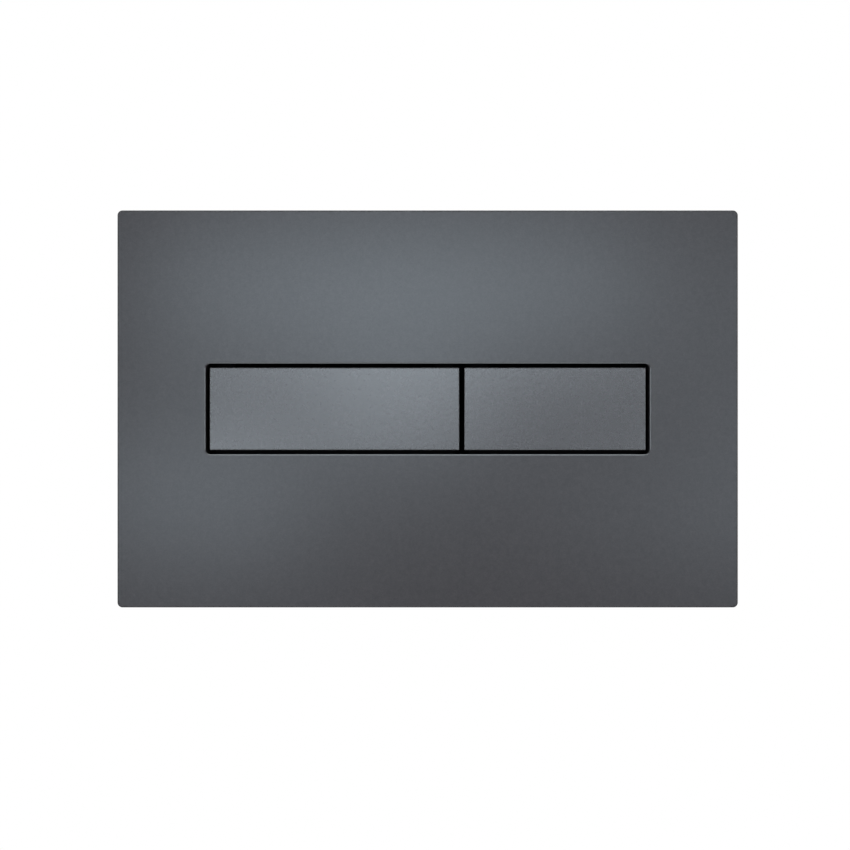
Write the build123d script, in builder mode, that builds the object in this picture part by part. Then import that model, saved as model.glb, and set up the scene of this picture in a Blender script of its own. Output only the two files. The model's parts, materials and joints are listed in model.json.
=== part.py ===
from build123d import *
import os
from math import cos, radians, sin

# Flush button plate for a concealed cistern, in millimetres.
# X runs along the plate, Z is up and the front faces -Y. The wall is the plane Y = 0.
# The origin lies on the wall, midway between the two fixing bolts.
# A height below is a distance from the wall towards the user, so Y = -height.

# Front plate
PLATE_WIDTH = 250.0
PLATE_HEIGHT = 160.0
PLATE_DEPTH = 12.0
PLATE_CORNER = 2.0
PLATE_FACE = 2.5
PLATE_SKIRT = 2.2
PLATE_INNER_CORNER = 1.0
PLATE_BEVEL = 0.5
SOFT_BEVEL_SLOPE = 0.5
RIB_WALL = 1.2
RIB_HEIGHT = 3.0
RIB_PITCH = 50.0
RIB_COLUMNS = 5
RIB_ROW_PITCH = 92.0
RIB_PLAY = 0.6

# Opening for the buttons, with a collar behind the face
OPENING_WIDTH = 179.0
OPENING_HEIGHT = 36.6
OPENING_CORNER = 2.0
OPENING_BEVEL = 0.45
COLLAR_WALL = 1.5
COLLAR_DEPTH = 2.0

# Button caps
FULL_BUTTON_SHARE = 0.5793
BUTTON_GAP = 1.75
MIDDLE_GAP = 2.1
BUTTON_BEVEL = 0.25
CAP_FACE = 2.0
CAP_WALL = 1.5
CAP_PLAY = 0.2
TAB_WIDTH = 6.0
TAB_WALL = 1.4
TAB_REACH = 0.7
TAB_NOSE = 0.4
TAB_LENGTH = 1.6
TAB_PLAY = 0.15
TAB_INSET = 17.0
TAB_PITCH = 18.0

# Button levers, which tip about a hidden hinge above the opening
PRESS_ANGLE = 8.0
LEVER_PLATE = 2.0
LEVER_WALL = 1.5
LEVER_RIB = 3.5
LEVER_RIB_INSET = 24.0
ARM_INSET = 2.5
ARM_WIDTH = 7.0
ARM_FOOT = 14.0
EYE_RADIUS = 3.2
EYE_PLAY = 0.3
EYE_CLEARANCE = 0.8
HINGE_RISE = 3.7
LIP_REACH = 2.2
LIP_WALL = 2.0
NOSE_RADIUS = 4.0
NOSE_WIDTH = 8.0
NOSE_LENGTH = 8.0

# Hinge pins
PIN_RADIUS = 1.5
PIN_PLAY = 0.06
PIN_GRIP = 0.02
PIN_END_GAP = 0.3

# Return springs
SPRING_Z = 4.0
SPRING_RADIUS = 3.5
SPRING_WIRE = 0.8
SPRING_TURNS = 3.0
SPRING_SEAT_PLAY = 0.1
WIRE_SIDES = 4
PEG_SPAN = 5.0
PEG_WALL = 1.4
PEG_HEIGHT = 2.5

# Button carrier, a tray behind the opening
CARRIER_WALL = 2.0
CARRIER_ROOM = 1.5
CARRIER_CORNER = 3.0
FLANGE_WIDTH = 9.0
EAR_FOOT = 4.0
DRAIN_WIDTH = 14.0
DRAIN_HEIGHT = 3.0
DRAIN_PITCH = 34.0
DRAIN_COUNT = 5
DRAIN_Z = 9.9

# Screws from the carrier into the plate
BOSS_RADIUS = 3.5
BOSS_HEIGHT = 5.0
PILOT_SKIN = 1.2
PILOT_PLAY = 0.02
SCREW_SPREAD = 150.0
SCREW_RADIUS = 1.3
SCREW_LENGTH = 7.8
SCREW_HOLE_PLAY = 0.3
SCREW_HEAD_RADIUS = 2.8
SCREW_HEAD = 2.0

# Clips that hold the carrier's upper flange to the plate
CLIP_SPREAD = 120.0
CLIP_WIDTH = 14.0
CLIP_WALL = 1.8
CLIP_LIP = 2.5
CLIP_REST = 5.0
CLIP_PLAY = 0.1

# Rubber pads that end the press
PAD_WIDTH = 8.0
PAD_TALL = 4.0
PAD_HEIGHT = 3.0
PAD_BEVEL = 0.6
PAD_SINK = 0.6
PAD_PLAY = 0.1
PAD_INSET = 11.0
STOP_PLAY = 0.3

# Mounting frame on the wall
FRAME_PLAY = 0.5
FRAME_GAP = 0.5
FRAME_PLATE = 2.0
FRAME_WALL = 2.0
FRAME_CORNER = 6.0
FRAME_BAR = 14.0
FRAME_WINDOW_MARGIN = 12.8
FRAME_WINDOW_CORNER = 4.0
PILLAR_WIDTH = 16.0
PILLAR_TALL = 20.0
BRIDGE_WALL = 3.0
BRIDGE_TALL = 14.0
BRIDGE_BEND = 2.0
GUIDE_SPAN = 12.0
GUIDE_LENGTH = 10.0
GUIDE_PLAY = 0.1

# Snap hooks from the plate into the frame
HOOK_SPREAD = 140.0
HOOK_WIDTH = 10.0
HOOK_WALL = 1.8
HOOK_REACH = 1.2
HOOK_NOSE = 0.6
HOOK_LENGTH = 2.4
HOOK_PLAY = 0.1
HOOK_SIDE_PLAY = 0.6

# Fixing bolts into the cistern box
BOLT_RADIUS = 4.0
BOLT_NECK_RADIUS = 3.5
BOLT_NECK = 3.0
BOLT_LENGTH = 58.0
BOLT_HOLE_PLAY = 0.3
BOLT_HEX = 13.0
BOLT_HEX_SIDES = 6
BOLT_HEAD = 4.0
BOLT_SINK = 3.0
BOLT_TIP = 1.0

# Push rods with screwed length adjusters
ROD_SPACING = 80.0
ROD_Z = -10.0
ROD_SPAN = 8.0
ROD_WEB = 2.4
ROD_LENGTH = 60.0
ROD_TIP = 0.8
ROD_SOCKET_SPAN = 9.0
ROD_SOCKET_LENGTH = 8.0
ROD_STOP_SPAN = 11.0
ROD_STOP = 2.0
ROD_ROOM = 0.9
CONTACT_PLAY = 0.3
ADJUSTER_RADIUS = 5.5
ADJUSTER_HEAD = 2.5
ADJUSTER_GAP = 1.5
STUD_RADIUS = 2.5
STUD_LENGTH = 7.0
STUD_PLAY = 0.05
STUD_END_PLAY = 0.3
GUIDE_ROOM = 0.7

# Heights that follow from the sizes above
FACE_BACK = PLATE_DEPTH - PLATE_FACE
COLLAR_BACK = FACE_BACK - COLLAR_DEPTH
CAP_BACK = COLLAR_BACK
CAP_INSIDE = PLATE_DEPTH - CAP_FACE
LEVER_BACK = CAP_INSIDE - LEVER_PLATE
LEVER_RIB_BACK = LEVER_BACK - LEVER_RIB
HINGE_HEIGHT = COLLAR_BACK - EYE_CLEARANCE - EYE_RADIUS
LIP_FRONT = COLLAR_BACK - STOP_PLAY
NOSE_TIP = LEVER_BACK - NOSE_LENGTH
FLANGE_FRONT = FACE_BACK - BOSS_HEIGHT
FLANGE_BACK = FLANGE_FRONT - CARRIER_WALL
FRAME_FRONT = FACE_BACK - RIB_HEIGHT - FRAME_GAP
FRAME_PLATE_BACK = FRAME_FRONT - FRAME_PLATE
BOLT_SEAT = FRAME_FRONT - BOLT_SINK

# Places across the plate
BUTTONS_WIDTH = OPENING_WIDTH - 2 * BUTTON_GAP - MIDDLE_GAP
FULL_BUTTON_WIDTH = FULL_BUTTON_SHARE * BUTTONS_WIDTH
HALF_BUTTON_WIDTH = BUTTONS_WIDTH - FULL_BUTTON_WIDTH
BUTTON_HEIGHT = OPENING_HEIGHT - 2 * BUTTON_GAP
FULL_LEFT = -OPENING_WIDTH / 2 + BUTTON_GAP
FULL_RIGHT = FULL_LEFT + FULL_BUTTON_WIDTH
HALF_LEFT = FULL_RIGHT + MIDDLE_GAP
HALF_RIGHT = HALF_LEFT + HALF_BUTTON_WIDTH
DIVIDE_X = (FULL_RIGHT + HALF_LEFT) / 2
LEVER_TOP = BUTTON_HEIGHT / 2 - CAP_WALL - CAP_PLAY
HINGE_Z = OPENING_HEIGHT / 2 + COLLAR_WALL + HINGE_RISE
LIP_END = OPENING_HEIGHT / 2 + LIP_REACH
PAD_Z = -LEVER_TOP + LEVER_WALL / 2
CARRIER_INSIDE = OPENING_WIDTH / 2
CARRIER_OUTSIDE = CARRIER_INSIDE + CARRIER_WALL
CARRIER_TOP = HINGE_Z + EYE_RADIUS + CARRIER_ROOM
CARRIER_BOTTOM = -LIP_END - CARRIER_ROOM
CARRIER_TALL = CARRIER_TOP - CARRIER_BOTTOM
CARRIER_MID = (CARRIER_TOP + CARRIER_BOTTOM) / 2
FLANGE_TOP = CARRIER_TOP + CARRIER_WALL + FLANGE_WIDTH
SCREW_Z = CARRIER_BOTTOM - CARRIER_WALL - FLANGE_WIDTH / 2
WINDOW_SIDE = CARRIER_OUTSIDE + FRAME_PLAY
WINDOW_TOP = FLANGE_TOP + FRAME_WINDOW_MARGIN
BOLT_X = WINDOW_SIDE + PILLAR_WIDTH / 2
FRAME_SIDE = BOLT_X + PILLAR_WIDTH / 2
FRAME_TOP = WINDOW_TOP + FRAME_BAR
HOOK_Z = WINDOW_TOP + FRAME_BAR / 2

# Travel of the buttons and rods
PRESS = radians(PRESS_ANGLE)
ROD_TRAVEL = (HINGE_Z - ROD_Z) * PRESS


def pressed_height(height, z):
    """Height that a point of a button reaches at the end of its press."""
    return HINGE_HEIGHT + (height - HINGE_HEIGHT) * cos(PRESS) - (HINGE_Z - z) * sin(PRESS)


PAD_FRONT = pressed_height(LEVER_RIB_BACK, -LEVER_TOP) - STOP_PLAY
FLOOR_FRONT = PAD_FRONT - PAD_HEIGHT
FLOOR_BACK = FLOOR_FRONT - CARRIER_WALL
ADJUSTER_FRONT = NOSE_TIP - CONTACT_PLAY
ADJUSTER_BACK = ADJUSTER_FRONT - ADJUSTER_HEAD
ROD_FRONT = ADJUSTER_BACK - ADJUSTER_GAP
ROD_SOCKET_BACK = ROD_FRONT - ROD_SOCKET_LENGTH
ROD_BACK = ROD_FRONT - ROD_LENGTH
GUIDE_FRONT = ROD_SOCKET_BACK - ROD_TRAVEL - GUIDE_ROOM
GUIDE_BACK = GUIDE_FRONT - GUIDE_LENGTH
BRIDGE_BACK = GUIDE_FRONT - BRIDGE_WALL
ROD_STOP_FRONT = GUIDE_BACK - CONTACT_PLAY


def wall_plane(height):
    """Plane parallel to the wall: its own axes are X and Z, and it faces the user."""
    return Plane.XZ.offset(height)


def side_plane(x):
    """Plane across the plate: its own axes are height and Z."""
    return Plane(origin=(x, 0, 0), x_dir=(0, -1, 0), z_dir=(-1, 0, 0))


def turning_plane(x, z):
    """Plane of a turned profile: its own axes are radius and Y, about a line through x and z."""
    return Plane(origin=(x, 0, z))


def turning_axis(x, z):
    """Line along Y about which a profile is turned."""
    return Axis((x, 0, z), (0, 1, 0))


def button_places(left, right, inset, *rows):
    """Points the same distance in from both ends of a button, in each of the rows."""
    return [(x, z) for x in (left + inset, right - inset) for z in rows]


screw_places = [(-SCREW_SPREAD / 2, SCREW_Z), (SCREW_SPREAD / 2, SCREW_Z)]
bolt_places = [(-BOLT_X, 0), (BOLT_X, 0)]
full_pads = button_places(FULL_LEFT, FULL_RIGHT, PAD_INSET, PAD_Z)
half_pads = button_places(HALF_LEFT, HALF_RIGHT, PAD_INSET, PAD_Z)
rod_places = [(-ROD_SPACING / 2, ROD_Z), (ROD_SPACING / 2, ROD_Z)]
spring_places = [
    ((FULL_LEFT + FULL_RIGHT) / 2, SPRING_Z),
    ((HALF_LEFT + HALF_RIGHT) / 2, SPRING_Z),
]

# Front plate: face, skirt, collar, ribs, screw bosses, carrier clips and snap hooks in one moulding
with BuildPart() as front_plate:
    with BuildSketch(wall_plane(0)):
        RectangleRounded(PLATE_WIDTH, PLATE_HEIGHT, PLATE_CORNER)
    extrude(amount=PLATE_DEPTH)
    front_face = front_plate.faces().sort_by(Axis.Y)[0]
    chamfer(front_face.edges(), PLATE_BEVEL)
    inner_width = PLATE_WIDTH - 2 * PLATE_SKIRT
    inner_height = PLATE_HEIGHT - 2 * PLATE_SKIRT
    with BuildSketch(wall_plane(0)):
        RectangleRounded(inner_width, inner_height, PLATE_INNER_CORNER)
    extrude(amount=FACE_BACK, mode=Mode.SUBTRACT)
    with BuildSketch(wall_plane(FACE_BACK)):
        RectangleRounded(
            OPENING_WIDTH + 2 * COLLAR_WALL,
            OPENING_HEIGHT + 2 * COLLAR_WALL,
            OPENING_CORNER + COLLAR_WALL,
        )
    extrude(amount=-COLLAR_DEPTH)
    with BuildSketch(wall_plane(FACE_BACK)):
        with GridLocations(RIB_PITCH, 0, RIB_COLUMNS, 1):
            Rectangle(RIB_WALL, inner_height)
        with GridLocations(0, RIB_ROW_PITCH, 1, 2):
            Rectangle(inner_width, RIB_WALL)
        with Locations((0, CARRIER_MID)):
            Rectangle(
                2 * (CARRIER_OUTSIDE + RIB_PLAY),
                CARRIER_TALL + 2 * (CARRIER_WALL + RIB_PLAY),
                mode=Mode.SUBTRACT,
            )
        with Locations(bolt_places):
            Rectangle(PILLAR_WIDTH, PILLAR_TALL, mode=Mode.SUBTRACT)
    extrude(amount=-RIB_HEIGHT)
    with BuildSketch(wall_plane(FACE_BACK)):
        with Locations(screw_places):
            Circle(BOSS_RADIUS)
    extrude(amount=-BOSS_HEIGHT)
    clip_top = FLANGE_TOP + CLIP_PLAY
    clip_stop = FLANGE_BACK - CLIP_PLAY
    for x in (-CLIP_SPREAD / 2, CLIP_SPREAD / 2):
        with BuildSketch(side_plane(x)):
            with BuildLine():
                Polyline(
                    (FACE_BACK, clip_top - CLIP_REST),
                    (FACE_BACK, clip_top + CLIP_WALL),
                    (clip_stop - CLIP_WALL, clip_top + CLIP_WALL),
                    (clip_stop - CLIP_WALL, clip_top - CLIP_LIP),
                    (clip_stop, clip_top - CLIP_LIP),
                    (clip_stop, clip_top),
                    (FLANGE_FRONT, clip_top),
                    (FLANGE_FRONT, clip_top - CLIP_REST),
                    close=True,
                )
            make_face()
        extrude(amount=CLIP_WIDTH / 2, both=True)
    hook_stop = FRAME_PLATE_BACK - HOOK_PLAY
    hook_end = hook_stop - HOOK_LENGTH
    for x in (-HOOK_SPREAD / 2, HOOK_SPREAD / 2):
        for side in (-1, 1):
            inner = HOOK_Z - HOOK_WALL / 2
            outer = HOOK_Z + HOOK_WALL / 2
            with BuildSketch(side_plane(x)):
                with BuildLine():
                    Polyline(
                        (FACE_BACK, side * inner),
                        (FACE_BACK, side * outer),
                        (hook_stop, side * outer),
                        (hook_stop, side * (outer + HOOK_REACH)),
                        (hook_stop - HOOK_NOSE, side * (outer + HOOK_REACH)),
                        (hook_end, side * outer),
                        (hook_end, side * inner),
                        close=True,
                    )
                make_face()
            extrude(amount=HOOK_WIDTH / 2, both=True)
    with BuildSketch(wall_plane(PLATE_DEPTH)):
        RectangleRounded(OPENING_WIDTH, OPENING_HEIGHT, OPENING_CORNER)
    extrude(amount=-PLATE_FACE - COLLAR_DEPTH, mode=Mode.SUBTRACT)
    front_face = front_plate.faces().sort_by(Axis.Y)[0]
    chamfer(
        front_face.inner_wires()[0].edges(),
        OPENING_BEVEL,
        SOFT_BEVEL_SLOPE * OPENING_BEVEL,
        reference=front_face,
    )
    with BuildSketch(wall_plane(FLANGE_FRONT)):
        with Locations(screw_places):
            Circle(SCREW_RADIUS + PILOT_PLAY)
    extrude(amount=PLATE_DEPTH - PILOT_SKIN - FLANGE_FRONT, mode=Mode.SUBTRACT)


def button_cap(left, right):
    """Painted tray with a plain face and four snap tabs that hold it to its lever."""
    middle = (left + right) / 2
    width = right - left
    with BuildPart() as cap:
        with BuildSketch(wall_plane(CAP_BACK)):
            with Locations((middle, 0)):
                Rectangle(width, BUTTON_HEIGHT)
        extrude(amount=PLATE_DEPTH - CAP_BACK)
        cap_face = cap.faces().sort_by(Axis.Y)[0]
        chamfer(
            cap_face.edges(), BUTTON_BEVEL, SOFT_BEVEL_SLOPE * BUTTON_BEVEL, reference=cap_face
        )
        with BuildSketch(wall_plane(CAP_BACK)):
            with Locations((middle, 0)):
                Rectangle(width - 2 * CAP_WALL, BUTTON_HEIGHT - 2 * CAP_WALL)
        extrude(amount=CAP_INSIDE - CAP_BACK, mode=Mode.SUBTRACT)
        for x in (left + TAB_INSET, right - TAB_INSET):
            for side in (-1, 1):
                inner = (TAB_PITCH - TAB_WALL) / 2
                outer = (TAB_PITCH + TAB_WALL) / 2
                with BuildSketch(side_plane(x)):
                    with BuildLine():
                        Polyline(
                            (CAP_INSIDE, side * inner),
                            (CAP_INSIDE, side * outer),
                            (LEVER_BACK, side * outer),
                            (LEVER_BACK, side * (outer + TAB_REACH)),
                            (LEVER_BACK - TAB_NOSE, side * (outer + TAB_REACH)),
                            (LEVER_BACK - TAB_LENGTH, side * outer),
                            (LEVER_BACK - TAB_LENGTH, side * inner),
                            close=True,
                        )
                    make_face()
                extrude(amount=TAB_WIDTH / 2, both=True)
    return cap.part


def button_lever(left, right, hub_left, hub_right, rod_place, spring_place):
    """Ribbed plate with two hinge arms, a rest lip, a round push nose and a spring peg."""
    middle = (left + right) / 2
    width = right - left - 2 * (CAP_WALL + CAP_PLAY)
    arm_front = HINGE_HEIGHT + EYE_RADIUS
    arm_back = HINGE_HEIGHT - EYE_RADIUS
    arms = (left + ARM_INSET + ARM_WIDTH / 2, right - ARM_INSET - ARM_WIDTH / 2)
    with BuildPart() as lever:
        with BuildSketch(wall_plane(LEVER_BACK)):
            with Locations((middle, 0)):
                Rectangle(width, 2 * LEVER_TOP)
            with Locations(button_places(left, right, TAB_INSET, -TAB_PITCH / 2, TAB_PITCH / 2)):
                Rectangle(TAB_WIDTH + 2 * TAB_PLAY, TAB_WALL + 2 * TAB_PLAY, mode=Mode.SUBTRACT)
        extrude(amount=LEVER_PLATE)
        with BuildSketch(wall_plane(LEVER_BACK)):
            with Locations((middle, 0)):
                Rectangle(width, 2 * LEVER_TOP)
                Rectangle(width - 2 * LEVER_WALL, 2 * (LEVER_TOP - LEVER_WALL), mode=Mode.SUBTRACT)
            with Locations(button_places(left, right, LEVER_RIB_INSET, 0)):
                Rectangle(LEVER_WALL, 2 * LEVER_TOP)
        extrude(amount=-LEVER_RIB)
        for arm in arms:
            with BuildSketch(side_plane(arm)):
                with BuildLine():
                    Polyline(
                        (LEVER_BACK, LEVER_TOP - ARM_FOOT),
                        (LEVER_BACK, LEVER_TOP - LEVER_WALL),
                        (arm_front, LEVER_TOP),
                        (arm_front, HINGE_Z),
                        (arm_back, HINGE_Z),
                        (LEVER_RIB_BACK, LEVER_TOP - ARM_FOOT),
                        close=True,
                    )
                make_face()
            extrude(amount=ARM_WIDTH / 2, both=True)
        lip_start = LEVER_TOP - LEVER_WALL
        with BuildSketch(side_plane(middle)):
            with Locations((LIP_FRONT - LIP_WALL / 2, -(LIP_END + lip_start) / 2)):
                Rectangle(LIP_WALL, LIP_END - lip_start)
        extrude(amount=width / 2, both=True)
        hub_ends = ((hub_left, arms[0] + ARM_WIDTH / 2), (arms[1] - ARM_WIDTH / 2, hub_right))
        for start, end in hub_ends:
            with BuildSketch(side_plane((start + end) / 2)):
                with Locations((HINGE_HEIGHT, HINGE_Z)):
                    Circle(EYE_RADIUS)
            extrude(amount=(end - start) / 2, both=True)
        with BuildSketch(side_plane((hub_left + hub_right) / 2)):
            with Locations((HINGE_HEIGHT, HINGE_Z)):
                Circle(PIN_RADIUS + PIN_PLAY)
        extrude(amount=hub_right - hub_left, both=True, mode=Mode.SUBTRACT)
        nose_centre = NOSE_TIP + NOSE_RADIUS
        with BuildSketch(side_plane(rod_place[0])):
            with Locations(((LEVER_BACK + nose_centre) / 2, rod_place[1])):
                Rectangle(LEVER_BACK - nose_centre, 2 * NOSE_RADIUS)
            with Locations((nose_centre, rod_place[1])):
                Circle(NOSE_RADIUS)
        extrude(amount=NOSE_WIDTH / 2, both=True)
        with BuildSketch(wall_plane(LEVER_BACK)):
            with Locations(spring_place):
                Rectangle(PEG_SPAN, PEG_WALL)
                Rectangle(PEG_WALL, PEG_SPAN)
        extrude(amount=-PEG_HEIGHT)
    return lever.part


def hinge_pin(start, end):
    """Plain steel pin along the hinge line."""
    with BuildPart() as pin:
        with BuildSketch(side_plane((start + end) / 2)):
            with Locations((HINGE_HEIGHT, HINGE_Z)):
                Circle(PIN_RADIUS)
        extrude(amount=(end - start) / 2, both=True)
    return pin.part


def return_spring(place):
    """Compression spring between a lever and the floor of the carrier."""
    wire_radius = SPRING_WIRE / 2
    front = LEVER_BACK - SPRING_SEAT_PLAY - wire_radius
    back = FLOOR_FRONT + SPRING_SEAT_PLAY + wire_radius
    with BuildPart() as spring:
        with BuildLine() as coil:
            Helix(
                pitch=(front - back) / SPRING_TURNS,
                height=front - back,
                radius=SPRING_RADIUS,
                center=(place[0], -front, place[1]),
                direction=(0, 1, 0),
            )
        with BuildSketch(Plane(origin=coil.line @ 0, z_dir=coil.line % 0)):
            RegularPolygon(wire_radius, WIRE_SIDES)
        sweep(path=coil.line, is_frenet=True)
    return spring.part


def stop_pads(places):
    """Rubber pads set into the floor of the carrier, under the lower rim of a lever."""
    with BuildPart() as pads:
        with BuildSketch(wall_plane(FLOOR_FRONT - PAD_SINK)):
            with Locations(places):
                Rectangle(PAD_WIDTH, PAD_TALL)
        extrude(amount=PAD_HEIGHT + PAD_SINK)
        chamfer(pads.faces().group_by(Axis.Y)[0].edges(), PAD_BEVEL)
    return pads.part


def fixing_bolt(place):
    """Hexagon bolt with a plain neck in the frame and a threaded shank into the cistern box."""
    x, z = place
    neck_end = BOLT_SEAT - BOLT_NECK
    tip = BOLT_SEAT - BOLT_LENGTH
    with BuildPart() as bolt:
        with BuildSketch(turning_plane(x, z)):
            with BuildLine():
                Polyline(
                    (0, -BOLT_SEAT),
                    (BOLT_NECK_RADIUS, -BOLT_SEAT),
                    (BOLT_NECK_RADIUS, -neck_end),
                    (BOLT_RADIUS, -neck_end),
                    (BOLT_RADIUS, -tip - BOLT_TIP),
                    (BOLT_RADIUS - BOLT_TIP, -tip),
                    (0, -tip),
                    close=True,
                )
            make_face()
        revolve(axis=turning_axis(x, z))
        with BuildSketch(wall_plane(BOLT_SEAT)):
            with Locations(place):
                RegularPolygon(BOLT_HEX / 2, BOLT_HEX_SIDES, major_radius=False)
        extrude(amount=BOLT_HEAD)
    return bolt.part


def push_rod(place):
    """Cross-shaped rod with a socket for its adjuster in front and a stop behind its guide."""
    with BuildPart() as rod:
        with BuildSketch(wall_plane(ROD_SOCKET_BACK)):
            with Locations(place):
                Rectangle(ROD_SPAN, ROD_WEB)
                Rectangle(ROD_WEB, ROD_SPAN)
        extrude(amount=ROD_BACK - ROD_SOCKET_BACK)
        chamfer(rod.faces().sort_by(Axis.Y)[-1].edges(), ROD_TIP)
        with BuildSketch(wall_plane(ROD_SOCKET_BACK)):
            with Locations(place):
                Rectangle(ROD_SOCKET_SPAN, ROD_SOCKET_SPAN)
        extrude(amount=ROD_SOCKET_LENGTH)
        with BuildSketch(wall_plane(ROD_STOP_FRONT)):
            with Locations(place):
                Rectangle(ROD_STOP_SPAN, ROD_STOP_SPAN)
        extrude(amount=-ROD_STOP)
        with BuildSketch(wall_plane(ROD_FRONT)):
            with Locations(place):
                Circle(STUD_RADIUS + STUD_PLAY)
        extrude(amount=ADJUSTER_GAP - STUD_LENGTH - STUD_END_PLAY, mode=Mode.SUBTRACT)
    return rod.part


def rod_adjuster(place):
    """Round-headed screw in the front of a rod, which sets where the button meets the rod."""
    with BuildPart() as adjuster:
        with BuildSketch(wall_plane(ADJUSTER_FRONT)):
            with Locations(place):
                Circle(ADJUSTER_RADIUS)
        extrude(amount=-ADJUSTER_HEAD)
        with BuildSketch(wall_plane(ADJUSTER_BACK)):
            with Locations(place):
                Circle(STUD_RADIUS)
        extrude(amount=-STUD_LENGTH)
    return adjuster.part


# Button carrier: tray with a screw flange, a centre ear for the pins, spring pegs and drain windows
with BuildPart() as button_carrier:
    with BuildSketch(wall_plane(FLOOR_BACK)):
        with Locations((0, CARRIER_MID)):
            RectangleRounded(2 * CARRIER_OUTSIDE, CARRIER_TALL + 2 * CARRIER_WALL, CARRIER_CORNER)
    extrude(amount=COLLAR_BACK - FLOOR_BACK)
    with BuildSketch(wall_plane(FLANGE_BACK)):
        with Locations((0, CARRIER_MID)):
            RectangleRounded(
                2 * CARRIER_OUTSIDE,
                CARRIER_TALL + 2 * (CARRIER_WALL + FLANGE_WIDTH),
                CARRIER_CORNER,
            )
    extrude(amount=CARRIER_WALL)
    with BuildSketch(wall_plane(FLOOR_FRONT)):
        with Locations((0, CARRIER_MID)):
            Rectangle(2 * CARRIER_INSIDE, CARRIER_TALL)
    extrude(amount=COLLAR_BACK - FLOOR_FRONT, mode=Mode.SUBTRACT)
    ear_width = MIDDLE_GAP + 2 * (ARM_INSET - EYE_PLAY)
    with BuildSketch(side_plane(DIVIDE_X)):
        with Locations((HINGE_HEIGHT, HINGE_Z)):
            Circle(EYE_RADIUS)
        with Locations(((FLOOR_FRONT + HINGE_HEIGHT) / 2, (HINGE_Z - EAR_FOOT + CARRIER_TOP) / 2)):
            Rectangle(HINGE_HEIGHT - FLOOR_FRONT, CARRIER_TOP - HINGE_Z + EAR_FOOT)
    extrude(amount=ear_width / 2, both=True)
    with BuildSketch(side_plane(0)):
        with Locations((HINGE_HEIGHT, HINGE_Z)):
            Circle(PIN_RADIUS + PIN_GRIP)
    extrude(amount=CARRIER_OUTSIDE, both=True, mode=Mode.SUBTRACT)
    with BuildSketch(wall_plane(FLOOR_FRONT)):
        with Locations(spring_places):
            Rectangle(PEG_SPAN, PEG_WALL)
            Rectangle(PEG_WALL, PEG_SPAN)
    extrude(amount=PEG_HEIGHT)
    rod_window = 2 * (ADJUSTER_RADIUS + ROD_ROOM)
    with BuildSketch(wall_plane(FLOOR_FRONT)):
        with Locations(rod_places):
            Rectangle(rod_window, rod_window)
        with Locations((0, DRAIN_Z)):
            with GridLocations(DRAIN_PITCH, 0, DRAIN_COUNT, 1):
                Rectangle(DRAIN_WIDTH, DRAIN_HEIGHT)
    extrude(amount=-CARRIER_WALL, mode=Mode.SUBTRACT)
    with BuildSketch(wall_plane(FLOOR_FRONT)):
        with Locations(full_pads + half_pads):
            Rectangle(PAD_WIDTH + 2 * PAD_PLAY, PAD_TALL + 2 * PAD_PLAY)
    extrude(amount=-PAD_SINK, mode=Mode.SUBTRACT)
    with BuildSketch(wall_plane(FLANGE_FRONT)):
        with Locations(screw_places):
            Circle(SCREW_RADIUS + SCREW_HOLE_PLAY)
    extrude(amount=-CARRIER_WALL, mode=Mode.SUBTRACT)

# Screws: flat round heads behind the flange and shanks into the plate's bosses
with BuildPart() as carrier_screws:
    with BuildSketch(wall_plane(FLANGE_BACK)):
        with Locations(screw_places):
            Circle(SCREW_HEAD_RADIUS)
    extrude(amount=-SCREW_HEAD)
    with BuildSketch(wall_plane(FLANGE_BACK)):
        with Locations(screw_places):
            Circle(SCREW_RADIUS)
    extrude(amount=SCREW_LENGTH)

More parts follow.
